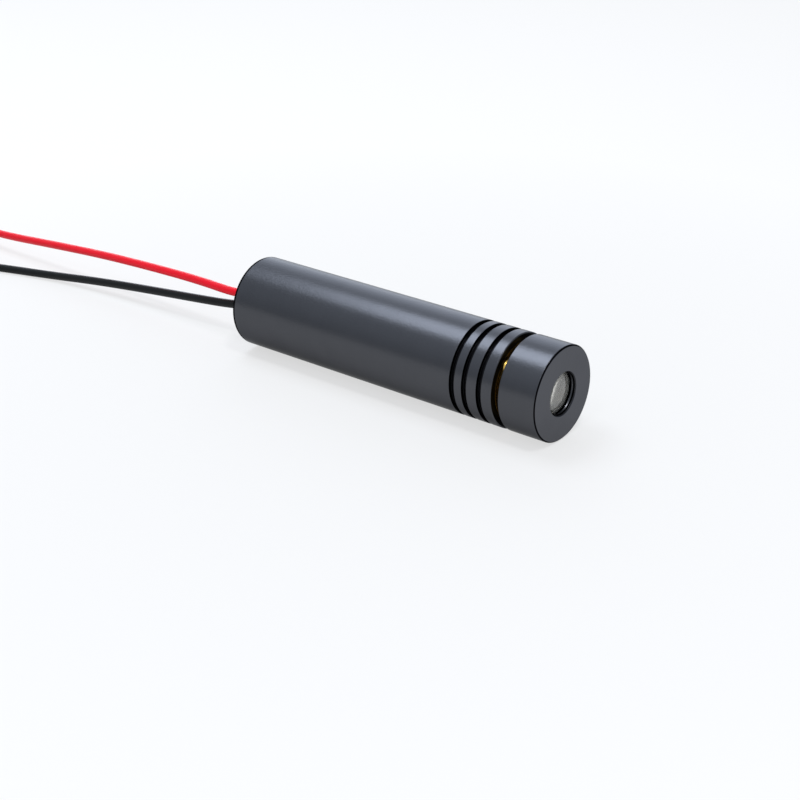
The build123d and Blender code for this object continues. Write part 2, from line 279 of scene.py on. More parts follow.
@dataclass(frozen=True)
class SatinAnodising:
    """Dyed anodised aluminium: satin metal with faint turning rings and clouds, with painted dark edges,
    painted shade in recesses and a painted paler front face.
    """

    name: str = "satin_anodising"
    light: Colour = (0.113, 0.1165, 0.128)
    dark: Colour = (0.094, 0.0975, 0.1085)
    # Near-black colour mixed in by the tone attribute: painted shade on edges, groove walls and the light
    # opening.
    edge: Colour = (0.004, 0.004, 0.005)
    glance: Colour = (0.48, 0.48, 0.48)
    roughness: float = 0.30
    gloss_spread: float = 0.05
    ring_stretch: Point = (1.0, 0.02, 0.02)
    ring_scale: float = 6.0
    cloud_scale: float = 0.35
    grain_scale: float = 14.0
    pit_scale: float = 3.2
    cloud_share: float = 0.7
    pit_share: float = 0.85
    depth: float = 0.014

    def make(self) -> bpy.types.Material:
        """Return the material: the tone attribute paints shade on edges and recesses and a paler lit face,
        rings and grain vary the gloss, pits the normal.
        """
        graph = Graph.of_material(self.name)
        tone = graph.node("ShaderNodeAttribute", {"attribute_name": PAINTED_SHADE_TONE}, out="Fac")
        rings = graph.noise(graph.place(self.ring_stretch), self.ring_scale, detail=3.0)
        clouds = graph.noise(graph.place(), self.cloud_scale, detail=3.0)
        grain = graph.noise(graph.place(), self.grain_scale, detail=1.0)
        pits = graph.noise(graph.place(), self.pit_scale)
        cloudy = clouds * self.cloud_share + rings * (1.0 - self.cloud_share)
        # Painted shade and light: tone 0 gives the near-black edge colour, tone 1 the palest colour, used
        # for a painted lit face.
        colour = graph.blend(tone, self.edge, graph.blend(cloudy, self.dark, self.light))
        gloss = (rings + grain) * self.gloss_spread + (self.roughness - self.gloss_spread)
        height = rings * (1.0 - self.pit_share) + pits * self.pit_share
        return graph.finish(
            {
                "Base Color": colour,
                "Metallic": 1.0,
                "Specular Tint": self.glance,
                "Roughness": gloss,
                "Normal": graph.bump(height, self.depth),
            }
        )


@dataclass(frozen=True)
class Plated:
    """Bare or plated metal with a fine grain and a slight stain."""

    name: str
    bright: Colour
    stain: Colour
    roughness: float
    grain: float = 6.0
    stretch: Point = (1.0, 1.0, 1.0)
    cloud_scale: float = 0.9
    stain_gain: float = 1.6
    stain_start: float = 0.45
    gloss_spread: float = 0.06
    depth: float = 0.003

    def make(self) -> bpy.types.Material:
        """Return the material: stain clouds in the colour, grain or turning rings in the gloss."""
        graph = Graph.of_material(self.name)
        clouds = graph.noise(graph.place(), self.cloud_scale, detail=4.0)
        grain = graph.noise(graph.place(self.stretch), self.grain, detail=3.0)
        colour = graph.blend(clouds * self.stain_gain - self.stain_start, self.bright, self.stain)
        return graph.finish(
            {
                "Base Color": colour,
                "Metallic": 1.0,
                "Roughness": grain * (2.0 * self.gloss_spread) + (self.roughness - self.gloss_spread),
                "Normal": graph.bump(grain, self.depth),
            }
        )


@dataclass(frozen=True)
class Moulded:
    """Moulded, cast or extruded plastic with a soft mottle and a fine skin texture."""

    name: str
    colour: Colour
    mottle: Colour
    roughness: float
    skin: float = 5.0
    depth: float = 0.006
    shine: float = 0.5
    cloud_scale: float = 0.6
    gloss_spread: float = 0.07

    def make(self) -> bpy.types.Material:
        """Return the material: slow mottle in the colour, fine skin in gloss and normal."""
        graph = Graph.of_material(self.name)
        clouds = graph.noise(graph.place(), self.cloud_scale, detail=3.0)
        skin = graph.noise(graph.place(), self.skin)
        return graph.finish(
            {
                "Base Color": graph.blend(clouds, self.colour, self.mottle),
                "Roughness": skin * (2.0 * self.gloss_spread) + (self.roughness - self.gloss_spread),
                "Specular IOR Level": self.shine,
                "Normal": graph.bump(skin, self.depth),
            }
        )


@dataclass(frozen=True)
class LensGlass:
    """Clear moulded glass with a trace of haze and dust."""

    name: str = "clear_lens"
    tint: Colour = (0.74, 0.73, 0.68)
    clearness: float = 0.86
    index: float = 1.5
    polish: float = 0.015
    dust_scale: float = 5.0
    dust_start: float = 0.60
    dust_full: float = 0.78
    dust_haze: float = 0.08

    def make(self) -> bpy.types.Material:
        """Return the material: dust specks roughen an otherwise polished surface."""
        graph = Graph.of_material(self.name)
        dust = graph.node(
            "ShaderNodeValToRGB",
            {"stops": ((self.dust_start, (0.0, 0.0, 0.0)), (self.dust_full, (1.0, 1.0, 1.0)))},
            {"Fac": graph.noise(graph.place(), self.dust_scale, detail=3.0)},
        )
        return graph.finish(
            {
                "Base Color": self.tint,
                "Roughness": dust * self.dust_haze + self.polish,
                "IOR": self.index,
                "Transmission Weight": self.clearness,
            }
        )


@dataclass(frozen=True)
class MaskedBoard:
    """Glass-epoxy board: green solder mask over faint copper runs."""

    name: str = "masked_board"
    mask: Colour = (0.018, 0.15, 0.055)
    copper: Colour = (0.045, 0.24, 0.085)
    run_stretch: Point = (0.05, 1.0, 1.0)
    run_scale: float = 0.22
    run_waver: float = 1.5
    run_share: float = 0.7
    weave_scale: float = 4.0
    roughness: float = 0.3
    gloss_spread: float = 0.15
    depth: float = 0.03

    def make(self) -> bpy.types.Material:
        """Return the material: straight copper runs show through as lighter bands along the board."""
        graph = Graph.of_material(self.name)
        runs = graph.node(
            "ShaderNodeTexWave",
            {"wave_type": "BANDS", "bands_direction": "Y"},
            {
                "Vector": graph.place(self.run_stretch),
                "Scale": self.run_scale,
                "Distortion": self.run_waver,
                "Detail": 0.0,
            },
            out="Fac",
        )
        weave = graph.noise(graph.place(), self.weave_scale)
        height = runs * self.run_share + weave * (1.0 - self.run_share)
        return graph.finish(
            {
                "Base Color": graph.blend(runs, self.mask, self.copper),
                "Roughness": weave * self.gloss_spread + self.roughness,
                "Normal": graph.bump(height, self.depth),
            }
        )


Finish = Union[SatinAnodising, Plated, Moulded, LensGlass, MaskedBoard]


class Palette:
    """All finishes of the module, made once and shared."""

    RINGED: Point = (1.0, 0.03, 0.03)
    FINISHES: Dict[Slot, Finish] = {
        Slot.ANODISED: SatinAnodising(),
        Slot.BRASS: Plated("turned_brass", (0.80, 0.52, 0.13), (0.50, 0.30, 0.06), 0.20, 9.0, RINGED),
        Slot.LENS: LensGlass(),
        Slot.BLACK: Plated("black_anodising", (0.030, 0.030, 0.033), (0.018, 0.018, 0.020), 0.42),
        Slot.SPRING: Plated("spring_wire", (0.62, 0.61, 0.59), (0.45, 0.44, 0.42), 0.24, 12.0),
        Slot.GOLD: Plated("gold_plating", (0.88, 0.63, 0.25), (0.74, 0.50, 0.18), 0.22),
        Slot.NICKEL: Plated("nickel_plating", (0.68, 0.66, 0.62), (0.52, 0.50, 0.46), 0.26),
        Slot.DIE: Plated("laser_die", (0.16, 0.16, 0.18), (0.10, 0.10, 0.12), 0.15),
        Slot.BOARD: MaskedBoard(),
        Slot.CHIP: Moulded("chip_epoxy", (0.022, 0.022, 0.023), (0.034, 0.034, 0.035), 0.55, 9.0),
        Slot.CERAMIC: Moulded("capacitor_ceramic", (0.50, 0.39, 0.26), (0.42, 0.32, 0.20), 0.5),
        Slot.SOLDER: Plated("tin_solder", (0.76, 0.76, 0.77), (0.55, 0.55, 0.56), 0.24, 3.0),
        Slot.TINNED: Plated("tinned_strands", (0.75, 0.73, 0.69), (0.60, 0.53, 0.44), 0.28),
        Slot.SLEEVE: Moulded("polyester_sleeve", (0.74, 0.74, 0.70), (0.66, 0.66, 0.61), 0.35),
        Slot.POTTING: Moulded(
            "cast_resin", (0.012, 0.012, 0.012), (0.020, 0.020, 0.021), 0.22, skin=1.6, depth=0.02
        ),
        Slot.RED: Moulded(
            "red_vinyl", (0.74, 0.0045, 0.018), (0.67, 0.0036, 0.014), 0.38, skin=3.0, shine=0.15
        ),
        Slot.BLACK_PVC: Moulded(
            "black_vinyl", (0.006, 0.007, 0.007), (0.009, 0.010, 0.010), 0.38, skin=3.0, shine=0.12
        ),
        Slot.NYLON: Moulded("natural_nylon", (0.62, 0.61, 0.56), (0.55, 0.54, 0.49), 0.45),
    }

    def __init__(self) -> None:
        """Start with no material made."""
        self._made: Dict[Slot, bpy.types.Material] = {}

    def coat(self, piece: bpy.types.Object, slot: Slot) -> None:
        """Give a piece the finish of a slot.

        Args:
            piece: Piece to be coated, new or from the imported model.
            slot: Record slot whose finish it takes.
        """
        if slot not in self._made:
            self._made[slot] = self.FINISHES[slot].make()
        if not piece.data.materials:
            piece.data.materials.append(None)
        for place in piece.material_slots:
            place.link = "OBJECT"
            place.material = self._made[slot]
        LOG.info("coated %s as %s", piece.name, slot.value)

    def add(self, piece: bpy.types.Object, slot: Slot, body: Body, nodes: Sequence[str]) -> bpy.types.Object:
        """Coat a new piece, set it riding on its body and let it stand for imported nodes.

        Args:
            piece: New piece.
            slot: Record slot of its finish.
            body: Body that it moves with.
            nodes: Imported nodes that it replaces.

        Returns:
            The same piece.
        """
        self.coat(piece, slot)
        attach(piece, body.value)
        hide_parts(*nodes)
        LOG.info("built %s for %s", piece.name, ", ".join(nodes))
        return piece


def surface(
    name: str,
    points: np.ndarray,
    ring_rows: bool = False,
    start_cap: bool = False,
    end_cap: bool = False,
    tone: Optional[np.ndarray] = None,
) -> bpy.types.Object:
    """Make a smooth mesh object from a grid of points that closes on itself across its columns.

    Each cell of the grid is one quad between neighbouring rows and columns. A cap adds the mean
    of its end row as a pole and a fan of triangles. Faces are turned over where the enclosed
    volume comes out negative, so that they point outwards.

    Args:
        name: Name of the object and its mesh.
        points: Grid of shape rows x columns x 3 in millimetres.
        ring_rows: Whether the last row joins the first.
        start_cap: Whether the first row is closed by a fan.
        end_cap: Whether the last row is closed by a fan.
        tone: Tone of each row, 0 to 1, a level of painted shade, kept as a point attribute.

    Returns:
        The object, linked to the scene.
    """
    rows, columns = points.shape[:2]
    verts = points.reshape(-1, 3) * MM
    index = np.arange(rows * columns).reshape(rows, columns)
    below = np.roll(index, -1, axis=0) if ring_rows else index[1:]
    here = index if ring_rows else index[:-1]
    ring = [here, below, np.roll(below, -1, axis=1), np.roll(here, -1, axis=1)]
    quads = np.stack(ring, axis=-1).reshape(-1, 4)
    fans = []
    for wanted, row, order in ((start_cap, index[0], 1), (end_cap, index[-1], -1)):
        if wanted:
            pole = np.full(columns, len(verts))
            verts = np.vstack([verts, verts[row].mean(axis=0)])
            fans.append(np.stack([pole, row, np.roll(row, -1)][::order], axis=-1))
    tris = np.vstack([quads[:, (0, 1, 2)], quads[:, (0, 2, 3)], *fans])
    corner = verts[tris] - verts.mean(axis=0)
    if np.einsum("ij,ij->", corner[:, 0], np.cross(corner[:, 1], corner[:, 2])) < 0:
        quads = quads[:, ::-1]
        fans = [fan[:, ::-1] for fan in fans]
    mesh = bpy.data.meshes.new(name)
    mesh.from_pydata(verts.tolist(), [], quads.tolist() + [face for fan in fans for face in fan.tolist()])
    mesh.polygons.foreach_set("use_smooth", np.ones(len(mesh.polygons), dtype=bool))
    levels = np.ones(len(verts))
    if tone is not None:
        levels[: rows * columns] = np.repeat(tone, columns)
    mesh.attributes.new(PAINTED_SHADE_TONE, "FLOAT", "POINT").data.foreach_set("value", levels.astype(np.float32))
    mesh.update()
    made = bpy.data.objects.new(name, mesh)
    bpy.context.scene.collection.objects.link(made)
    return made


@dataclass
class Outline:
    """Half section of a turned piece, as corners of x and radius.

    Each corner has an edge break and the tone of the run that follows it, its level of painted shade.
    """

    corners: List[Sequence[float]] = field(default_factory=list)
    steps: int = 5
    settle: float = 1.7

    def go(self, x: float, radius: float, edge: float = 0.0, tone: float = PLAIN) -> "Outline":
        """Add one corner in millimetres and return the outline, so that calls chain."""
        self.corners.append((x, radius, edge, tone))
        return self

    def run(self, x: np.ndarray, radius: np.ndarray, tone: float = PLAIN) -> "Outline":
        """Add a run of plain points and return the outline."""
        plain = np.broadcast_to((0.0, tone), (len(x), 2))
        self.corners.extend(np.column_stack([x, radius, plain]).tolist())
        return self

    def softened(self) -> np.ndarray:
        """Round each broken edge by a quadratic curve between points one break away on both sides.

        A plain point follows on each side, settle breaks from the corner, so that the flats keep
        their own normals and tones; the broken edge takes the paler tone of its two runs. Corners
        with no break stay single points.

        Returns:
            Array of x, radius and tone along the softened outline.
        """
        data = np.array(self.corners)
        spot, edge, tone = data[:, :2], data[:, 2], data[:, 3]
        back = np.roll(spot, 1, axis=0) - spot
        ahead = np.roll(spot, -1, axis=0) - spot
        back /= np.maximum(np.linalg.norm(back, axis=1, keepdims=True), 1e-9)
        ahead /= np.maximum(np.linalg.norm(ahead, axis=1, keepdims=True), 1e-9)
        t = np.linspace(0.0, 1.0, self.steps)[None, :, None]
        near, far = spot + back * edge[:, None], spot + ahead * edge[:, None]
        bend = (1 - t) ** 2 * near[:, None] + 2 * t * (1 - t) * spot[:, None] + t**2 * far[:, None]
        first = spot + self.settle * edge[:, None] * back
        last = spot + self.settle * edge[:, None] * ahead
        line = np.concatenate([first[:, None], bend, last[:, None]], axis=1)
        before = np.where(edge == 0.0, tone, np.roll(tone, 1))
        paler = np.broadcast_to(np.maximum(before, tone)[:, None], bend.shape[:2])
        tones = np.concatenate([before[:, None], paler, tone[:, None]], axis=1)[..., None]
        keep = np.ones(line.shape[:2], dtype=bool)
        keep[edge == 0.0, 1:] = False
        return np.concatenate([line, tones], axis=2)[keep]


def turned(section: np.ndarray, columns: int, swell: Union[float, np.ndarray] = 0.0) -> np.ndarray:
    """Turn a section about the optical axis.

    A point of the section at x and radius r goes to (x, -(r + swell) cos a, (r + swell) sin a)
    for every angle a, so that a = 0 faces -Y and a = 90 degrees faces up.

    Args:
        section: Rows of x and radius in millimetres.
        columns: Number of angles.
        swell: Radius added at each row and angle.

    Returns:
        Grid of rows x columns x 3.
    """
    angle = np.arange(columns) * TAU / columns
    radius = section[:, 1:2] + swell + np.zeros((1, columns))
    along = np.broadcast_to(section[:, :1], radius.shape)
    return np.stack([along, -radius * np.cos(angle), radius * np.sin(angle)], axis=-1)


def carried(path: np.ndarray, radius: np.ndarray) -> np.ndarray:
    """Carry a round or lobed profile along a path.

    At each path point the frame is the tangent, its cross product with a steady reference and
    the third direction; the profile point at angle a is the path point plus radius(a) times
    (cos a side + sin a third).

    Args:
        path: Points of the path in millimetres.
        radius: Profile radius for each path point and angle.

    Returns:
        Grid of points, one row per path point.
    """
    tangent = np.gradient(path, axis=0)
    tangent /= np.linalg.norm(tangent, axis=1, keepdims=True)
    steady = np.array([1.0, 0.0, 0.0]) if abs(tangent[0, 0]) < 0.7 else np.array([0.0, 0.0, 1.0])
    side = np.cross(tangent, steady)
    side /= np.linalg.norm(side, axis=1, keepdims=True)
    third = np.cross(tangent, side)
    angle = (np.arange(radius.shape[1]) * TAU / radius.shape[1])[None, :, None]
    reach = radius[:, :, None]
    return path[:, None] + reach * (np.cos(angle) * side[:, None] + np.sin(angle) * third[:, None])


@dataclass
class Barrel:
    """Housing tube: grooved, chamfered outside and stepped bore."""

    rear: float = REAR
    front: float = FRONT
    radius: float = BODY_R
    rear_bore: float = BORE_R
    front_bore: float = SEAT_R
    shoulder: float = SHOULDER
    chamfer: float = 0.2
    front_break: float = 0.1
    groove_depth: float = 0.5
    groove_width: float = 0.75
    ridges: Tuple[float, ...] = (1.4, 1.4, 1.05)
    lip: float = 0.035
    # Painted shade level of groove walls and floors and of the face down in the gap before the cap.
    shade: float = 0.12
    # Width of the dark strip painted on the cylinder before the rear chamfer.
    painted_dark_rim_width: float = 0.3
    rim_start: float = 0.02
    bore_edge: float = 0.08
    mouth_edge: float = 0.04
    front_edge: float = 0.03
    soft_edge: float = 0.05
    columns: int = 288

    def build(self, palette: Palette) -> None:
        """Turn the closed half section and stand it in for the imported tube.

        Args:
            palette: Finishes of the module.
        """
        line = Outline()
        line.go(self.rear, self.rear_bore, self.bore_edge).go(self.shoulder, self.rear_bore)
        # The barrel's front face, down in the gap before the cap, is painted with shade.
        line.go(self.shoulder, self.front_bore).go(self.front, self.front_bore, self.mouth_edge, self.shade)
        line.go(self.front, self.radius - self.front_break, self.front_edge)
        line.go(self.front - self.front_break, self.radius, self.front_edge)
        floor = self.radius - self.groove_depth
        behind = self.front
        # Groove walls and floors are painted with shade; the lips keep the plain tone.
        for ridge in self.ridges:
            ahead, behind = behind - ridge, behind - ridge - self.groove_width
            line.go(ahead, self.radius, self.lip, self.shade).go(ahead, floor, self.soft_edge, self.shade)
            line.go(behind, floor, self.soft_edge, self.shade).go(behind, self.radius, self.lip)
        # A dark strip painted on the cylinder before the rear chamfer, and the chamfer painted dark too: a
        # painted dark edge.
        rim = self.rear + self.chamfer
        line.go(rim + self.painted_dark_rim_width, self.radius, self.rim_start, PAINTED_DARK_EDGE)
        line.go(rim, self.radius, self.soft_edge, PAINTED_DARK_EDGE)
        line.go(self.rear, self.radius - self.chamfer, self.soft_edge)
        section = line.softened()
        piece = surface("barrel", turned(section, self.columns), ring_rows=True, tone=section[:, 2])
        palette.add(piece, Slot.ANODISED, Body.HOUSING, ["housing_tube"])


@dataclass
class BrassInsert:
    """Brass insert with its threaded nose, and the focus spring in front of the diode's web."""

    shoulder: float = SHOULDER
    face: float = FRONT
    recess: float = 0.35
    nose_end: float = NOSE_END
    nose_chamfer: float = 0.2
    nose_edge: float = 0.03
    seat_r: float = SEAT_R - 0.01
    neck_r: float = 4.7
    neck_length: float = 0.9
    pitch_r: float = 4.82
    thread_half: float = 0.13
    thread_flat: float = 1.4
    thread_fade: float = 0.25
    pitch: float = 0.5
    step: float = 0.05
    neck_rows: int = 32
    thread_rows: int = 90
    run_in_angle: float = 44.6
    run_in_start: float = 0.17
    run_in_spread: float = 7.6
    run_in_rise: float = 0.25
    run_in_length: float = 0.57
    spring_bore: float = 4.1
    web_front: float = WEB_FRONT
    web_rear: float = STEM_FRONT
    can_hole: float = 2.3
    stem_rear: float = STEM_REAR
    stem_r: float = 2.8
    clamp_bore: float = 4.0
    cap_floor: float = CAP_FLOOR
    wire_r: float = 0.25
    spring_r: float = 3.6
    coils: float = 5.0
    closing: float = 0.75
    wire_rows: int = 500
    wire_columns: int = 16
    columns: int = 240

    def build(self, palette: Palette) -> None:
        """Build the insert and the spring."""
        self._insert(palette)
        self._spring(palette)

    def _insert(self, palette: Palette) -> None:
        """Turn the insert: a plain neck at the barrel's face, then a thread that climbs one pitch per turn.

        The thread swells the nose by a triangle wave of phase x / pitch + angle / turn, cut flat at
        crest and root, which fades in over a short way at both ends. It is right-handed, because the
        angle runs from -Y upwards. Its run-in is a short ramp on the neck, which falls in a straight
        line along x and as a bell exp(-(a / spread)^2) round the neck.

        Args:
            palette: Finishes of the module.
        """
        start, end = self.face + self.neck_length, self.nose_end - self.nose_chamfer
        root = self.face - self.recess
        neck_x = np.linspace(self.face - self.step, start - self.step, self.neck_rows)
        line = Outline()
        line.go(self.shoulder, self.clamp_bore).go(self.shoulder, self.seat_r)
        line.go(root, self.seat_r).go(root, self.neck_r)
        line.run(neck_x, np.full(self.neck_rows, self.neck_r))
        line.run(np.linspace(start, end, self.thread_rows), np.full(self.thread_rows, self.pitch_r))
        line.go(self.nose_end, self.pitch_r - self.nose_chamfer, self.nose_edge)
        line.go(self.nose_end, self.spring_bore, self.nose_edge)
        line.go(self.web_front, self.spring_bore, self.step).go(self.web_front, self.can_hole)
        line.go(self.web_rear, self.can_hole).go(self.web_rear, self.stem_r)
        line.go(self.stem_rear, self.stem_r).go(self.stem_rear, self.clamp_bore)
        section = line.softened()
        x, radius = section[:, :1], section[:, 1:2]
        share = np.arange(self.columns)[None] / self.columns
        phase = x / self.pitch + share
        wave = 1.0 - 4.0 * np.abs(phase - np.floor(phase) - 0.5)
        fade = np.clip(np.minimum(x - start, end - x) / self.thread_fade, 0.0, 1.0)
        thread = self.thread_half * fade * np.clip(self.thread_flat * wave, -1.0, 1.0)
        away = (share * 360.0 - self.run_in_angle + 180.0) % 360.0 - 180.0
        ramp = np.clip(1.0 - (x - self.face - self.run_in_start) / self.run_in_length, 0.0, 1.0)
        run_in = self.run_in_rise * ramp * np.exp(-((away / self.run_in_spread) ** 2))
        on_nose = (x >= start) & (x <= end) & (radius >= self.pitch_r)
        on_neck = (x > root) & (x < start) & (radius >= self.neck_r)
        swell = np.where(on_nose, thread, 0.0) + np.where(on_neck, run_in, 0.0)
        piece = surface("brass_insert", turned(section, self.columns, swell), ring_rows=True)
        palette.add(piece, Slot.BRASS, Body.HOUSING, ["brass_barrel"])

    def _spring(self, palette: Palette) -> None:
        """Carry a round wire along a helix whose pitch closes up at both ends.

        The climb at share s of the wire is s - closing sin(turn s) / turn, so that the end coils
        lie nearly flat; the wire's height is kept between its two seats.

        Args:
            palette: Finishes of the module.
        """
        s = np.linspace(0.0, 1.0, self.wire_rows)
        climb = s - self.closing * np.sin(TAU * s) / TAU
        angle = TAU * self.coils * s
        room = self.cap_floor - self.web_front - 2 * self.wire_r
        path = np.column_stack(
            [
                self.web_front + self.wire_r + room * climb,
                self.spring_r * np.cos(angle),
                self.spring_r * np.sin(angle),
            ]
        )
        grid = carried(path, np.full((self.wire_rows, self.wire_columns), self.wire_r))
        piece = surface("focus_spring_wire", grid, start_cap=True, end_cap=True)
        palette.coat(piece, Slot.SPRING)
        self.cap_floor * MM
        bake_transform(piece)
        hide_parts("focus_spring")
        LOG.info("built %s for focus_spring", piece.name)


@dataclass
class FocusHead:
    """Focusing cap with its light opening, and the lens behind it."""

    rear: float = CAP_REAR
    front: float = CAP_FRONT
    radius: float = BODY_R
    bore: float = 5.03
    floor: float = CAP_FLOOR
    pocket: float = 3.25
    seat: float = LENS_SEAT
    hole: float = 2.68
    rear_break: float = 0.1
    chamfer: float = 0.2
    hole_chamfer: float = 0.14
    skirt_edge: float = 0.04
    edge: float = 0.03
    hole_edge: float = 0.02
    ledge_edge: float = 0.012
    # Painted shade: the chamfer of the light opening and its sloped ledge are painted darker than the plain
    # body.
    painted_hole_shade: float = 0.3
    painted_ledge_shade: float = 0.6
    ledge_depth: float = 0.42
    ledge_length: float = 0.14
    ledge_drop: float = 0.065
    lens_r: float = 3.2
    lens_back: float = LENS_BACK
    dome_r: float = 2.72
    front_bulge: float = 0.5
    rear_bulge: float = 0.25
    lens_edge: float = 0.06
    pole_r: float = 0.02
    dome_rows: int = 48
    lens_columns: int = 160
    columns: int = 288

    def build(self, palette: Palette) -> None:
        """Build the cap and the lens, and coat the ring behind them."""
        self._cap(palette)
        self._lens(palette)
        palette.coat(bpy.data.objects["lens_ring"], Slot.BLACK)

    def _cap(self, palette: Palette) -> None:
        """Turn the cap: plain skirt, chamfered rim painted dark, front face painted paler, and a sloped
        ledge in its light opening, whose chamfer, walls and ledge are painted with shade.

        Args:
            palette: Finishes of the module.
        """
        throat = self.hole - self.ledge_drop
        ledge = self.front - self.ledge_depth
        line = Outline()
        line.go(self.rear, self.bore, self.skirt_edge)
        line.go(self.rear, self.radius - self.rear_break, self.edge)
        line.go(self.rear + self.rear_break, self.radius, self.edge)
        # The front chamfer is painted dark and the front face paler, painted light; the opening's chamfer,
        # walls and ledge are painted with shade.
        line.go(self.front - self.chamfer, self.radius, self.edge, PAINTED_DARK_EDGE)
        line.go(self.front, self.radius - self.chamfer, self.edge, PAINTED_LIT_FACE)
        line.go(self.front, self.hole + self.hole_chamfer, self.edge, self.painted_hole_shade)
        line.go(self.front - self.hole_chamfer, self.hole, self.hole_edge, PAINTED_WALL_SHADE)
        line.go(ledge, self.hole, self.ledge_edge, self.painted_ledge_shade)
        line.go(ledge - self.ledge_length, throat, self.ledge_edge, PAINTED_WALL_SHADE)
        line.go(self.seat, throat, 0.0, PAINTED_WALL_SHADE).go(self.seat, self.pocket)
        line.go(self.floor, self.pocket, self.edge).go(self.floor, self.bore)
        section = line.softened()
        piece = surface("focusing_cap", turned(section, self.columns), ring_rows=True, tone=section[:, 2])
        palette.add(piece, Slot.ANODISED, Body.HEAD, ["focus_cap"])

    def _lens(self, palette: Palette) -> None:
        """Turn the lens: a spherical dome in front, a flat rim, and a weaker dome behind.

        A dome of half width w and bulge b lies on a sphere of radius R = (w^2 + b^2) / 2b, so its
        height at radius r is sqrt(R^2 - r^2) - (R - b).

        Args:
            palette: Finishes of the module.
        """
        r = np.linspace(self.pole_r, self.dome_r, self.dome_rows)
        front_ball = (self.dome_r**2 + self.front_bulge**2) / (2 * self.front_bulge)
        rear_ball = (self.dome_r**2 + self.rear_bulge**2) / (2 * self.rear_bulge)
        front_x = self.seat + np.sqrt(front_ball**2 - r**2) - (front_ball - self.front_bulge)
        rear_x = self.lens_back - np.sqrt(rear_ball**2 - r**2) + (rear_ball - self.rear_bulge)
        line = Outline().run(front_x, r)
        line.go(self.seat, self.lens_r, self.lens_edge).go(self.lens_back, self.lens_r, self.lens_edge)
        line.run(rear_x[::-1], r[::-1])
        section = line.softened()
        piece = surface("lens", turned(section, self.lens_columns), start_cap=True, end_cap=True)
        palette.add(piece, Slot.LENS, Body.HEAD, ["collimating_lens"])


@dataclass
class RearPlug:
    """Cast resin plug with a dished back that creeps up the bore and the leads."""

    rear: float = PLUG_REAR
    front: float = PLUG_FRONT
    radius: float = BORE_R
    bore_gap: float = 0.005
    pole_r: float = 0.05
    front_edge: float = 0.05
    dish: float = 0.35
    bore_creep: float = 0.22
    bore_reach: float = 0.3
    lead_creep: float = LEAD_CREEP
    lead_reach: float = 0.22
    wire_r: float = LEAD_D / 2
    wire_heights: Tuple[float, float] = (RED_Z, BLACK_Z)
    rows: int = 80
    columns: int = 192

    def build(self, palette: Palette) -> None:
        """Turn the plug and lift its back round the leads.

        The back lies at rear + dish (1 - (r / R)^2), less a creep of bore_creep exp((r - R) /
        bore_reach) at the bore and of lead_creep exp(-d / lead_reach) at distance d from the skin
        of each lead.

        Args:
            palette: Finishes of the module.
        """
        skin = self.radius - self.bore_gap
        r = np.linspace(self.pole_r, skin, self.rows)
        back = self.rear + self.dish * (1 - (r / self.radius) ** 2)
        back -= self.bore_creep * np.exp((r - self.radius) / self.bore_reach)
        line = Outline().run(back, r)
        line.go(self.front, skin, self.front_edge).go(self.front, self.pole_r)
        section = line.softened()
        grid = turned(section, self.columns)
        for height in self.wire_heights:
            away = np.hypot(grid[..., 1], grid[..., 2] - height) - self.wire_r
            creep = self.lead_creep * np.exp(-np.maximum(away, 0.0) / self.lead_reach)
            grid[: self.rows, :, 0] -= creep[: self.rows]
        piece = surface("resin_plug", grid, start_cap=True, end_cap=True)
        palette.add(piece, Slot.POTTING, Body.HOUSING, ["rear_potting"])


